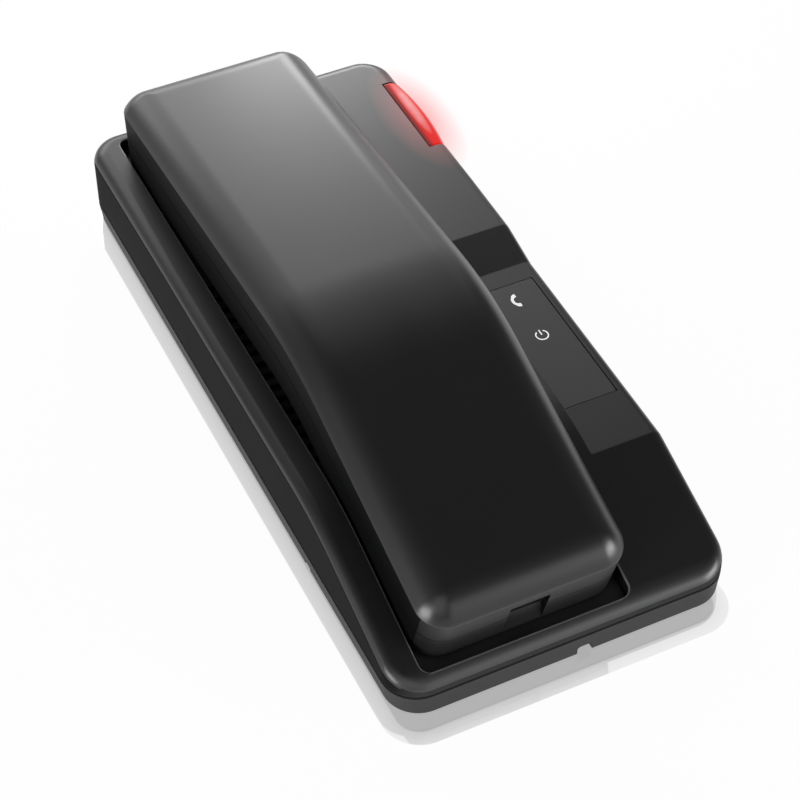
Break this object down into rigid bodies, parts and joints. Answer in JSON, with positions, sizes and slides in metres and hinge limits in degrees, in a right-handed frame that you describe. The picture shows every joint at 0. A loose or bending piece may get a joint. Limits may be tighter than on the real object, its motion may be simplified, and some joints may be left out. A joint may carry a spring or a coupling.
{
  "type": "wall-mounted ip phone",
  "caption": "Slim corded network telephone: arched handset with keys in its inner face, resting in the long well of a low wall-mountable base with a red message lamp and lit symbols.",
  "frame": {"origin": "middle of the footprint, on the plane of the rubber feet, which is the wall or table plane", "axes": "+X to the phone's right, +Y up the phone towards the earpiece end, +Z out of its face"},
  "size_m": [0.0914, 0.2004, 0.0516],
  "materials": {
    "case_black": "satin moulded plastic",
    "lower_black": "fine-grained moulded plastic",
    "handset_black": "satin moulded plastic",
    "rubber": "soft rubber",
    "steel": "zinc-plated steel",
    "speaker_steel": "pressed steel",
    "board": "solder-resist green glass-fibre board",
    "jack_black": "moulded socket plastic",
    "lamp_red": "polished translucent red lens",
    "panel_grey": "printed film",
    "clear_guide": "clear light guide",
    "membrane": "silicone key mat",
    "key_grey": "satin key plastic"
  },
  "bodies": {
    "base": {"base_upper_case": "case_black", "base_lower_case": "lower_black", "rubber_feet": "rubber", "case_screws": "steel", "main_board": "board", "board_screws": "steel", "lan_jack": "jack_black", "base_cord_jack": "jack_black", "ringer_speaker": "speaker_steel", "ringer_gasket": "rubber", "hook_switch": "jack_black", "wall_rest_tab": "case_black", "message_lamp_lens": "lamp_red", "lamp_light_board": "board", "indicator_panel": "panel_grey", "indicator_board": "board", "light_guides": "clear_guide"},
    "handset": {"handset_outer_shell": "handset_black", "handset_inner_shell": "handset_black", "handset_screws": "steel", "earpiece_receiver": "speaker_steel", "receiver_gasket": "rubber", "microphone": "speaker_steel", "microphone_boot": "rubber", "handset_board": "board", "keypad_membrane": "membrane", "handset_cord_jack": "jack_black", "handset_ballast": "steel"},
    "hook_plunger": {"hook_plunger": "case_black"},
    "key_1": {"key_1": "key_grey"},
    "key_2": {"key_2": "key_grey"},
    "key_3": {"key_3": "key_grey"},
    "key_4": {"key_4": "key_grey"},
    "key_5": {"key_5": "key_grey"},
    "key_6": {"key_6": "key_grey"},
    "key_7": {"key_7": "key_grey"},
    "key_8": {"key_8": "key_grey"},
    "key_9": {"key_9": "key_grey"},
    "key_star": {"key_star": "key_grey"},
    "key_0": {"key_0": "key_grey"},
    "key_hash": {"key_hash": "key_grey"},
    "key_flash": {"key_flash": "key_grey"},
    "key_redial": {"key_redial": "key_grey"},
    "key_mute": {"key_mute": "key_grey"}
  },
  "joints": [
    {"name": "handset_lift", "type": "slide", "parent": "base", "child": "handset", "axis": [0, 0, 1], "range_m": [0, 0.12]},
    {"name": "hook_rise", "type": "slide", "parent": "base", "child": "hook_plunger", "axis": [0, 0, 1], "range_m": [0, 0.003]},
    {"name": "key_1_press", "type": "slide", "parent": "handset", "child": "key_1", "axis": [0, 0.0837, 0.9965], "range_m": [0, 0.001], "stiffness_N_per_m": 300},
    {"name": "key_2_press", "type": "slide", "parent": "handset", "child": "key_2", "axis": [0, 0.0837, 0.9965], "range_m": [0, 0.001], "stiffness_N_per_m": 300},
    {"name": "key_3_press", "type": "slide", "parent": "handset", "child": "key_3", "axis": [0, 0.0837, 0.9965], "range_m": [0, 0.001], "stiffness_N_per_m": 300},
    {"name": "key_4_press", "type": "slide", "parent": "handset", "child": "key_4", "axis": [0, 0.0837, 0.9965], "range_m": [0, 0.001], "stiffness_N_per_m": 300},
    {"name": "key_5_press", "type": "slide", "parent": "handset", "child": "key_5", "axis": [0, 0.0837, 0.9965], "range_m": [0, 0.001], "stiffness_N_per_m": 300},
    {"name": "key_6_press", "type": "slide", "parent": "handset", "child": "key_6", "axis": [0, 0.0837, 0.9965], "range_m": [0, 0.001], "stiffness_N_per_m": 300},
    {"name": "key_7_press", "type": "slide", "parent": "handset", "child": "key_7", "axis": [0, 0.0837, 0.9965], "range_m": [0, 0.001], "stiffness_N_per_m": 300},
    {"name": "key_8_press", "type": "slide", "parent": "handset", "child": "key_8", "axis": [0, 0.0837, 0.9965], "range_m": [0, 0.001], "stiffness_N_per_m": 300},
    {"name": "key_9_press", "type": "slide", "parent": "handset", "child": "key_9", "axis": [0, 0.0837, 0.9965], "range_m": [0, 0.001], "stiffness_N_per_m": 300},
    {"name": "key_star_press", "type": "slide", "parent": "handset", "child": "key_star", "axis": [0, 0.0837, 0.9965], "range_m": [0, 0.001], "stiffness_N_per_m": 300},
    {"name": "key_0_press", "type": "slide", "parent": "handset", "child": "key_0", "axis": [0, 0.0837, 0.9965], "range_m": [0, 0.001], "stiffness_N_per_m": 300},
    {"name": "key_hash_press", "type": "slide", "parent": "handset", "child": "key_hash", "axis": [0, 0.0837, 0.9965], "range_m": [0, 0.001], "stiffness_N_per_m": 300},
    {"name": "key_flash_press", "type": "slide", "parent": "handset", "child": "key_flash", "axis": [0, 0.0837, 0.9965], "range_m": [0, 0.001], "stiffness_N_per_m": 300},
    {"name": "key_redial_press", "type": "slide", "parent": "handset", "child": "key_redial", "axis": [0, 0.0837, 0.9965], "range_m": [0, 0.001], "stiffness_N_per_m": 300},
    {"name": "key_mute_press", "type": "slide", "parent": "handset", "child": "key_mute", "axis": [0, 0.0837, 0.9965], "range_m": [0, 0.001], "stiffness_N_per_m": 300}
  ],
  "couplings": [
    {"joint": "hook_rise", "follows": "handset_lift", "ratio": 0.025}
  ]
}
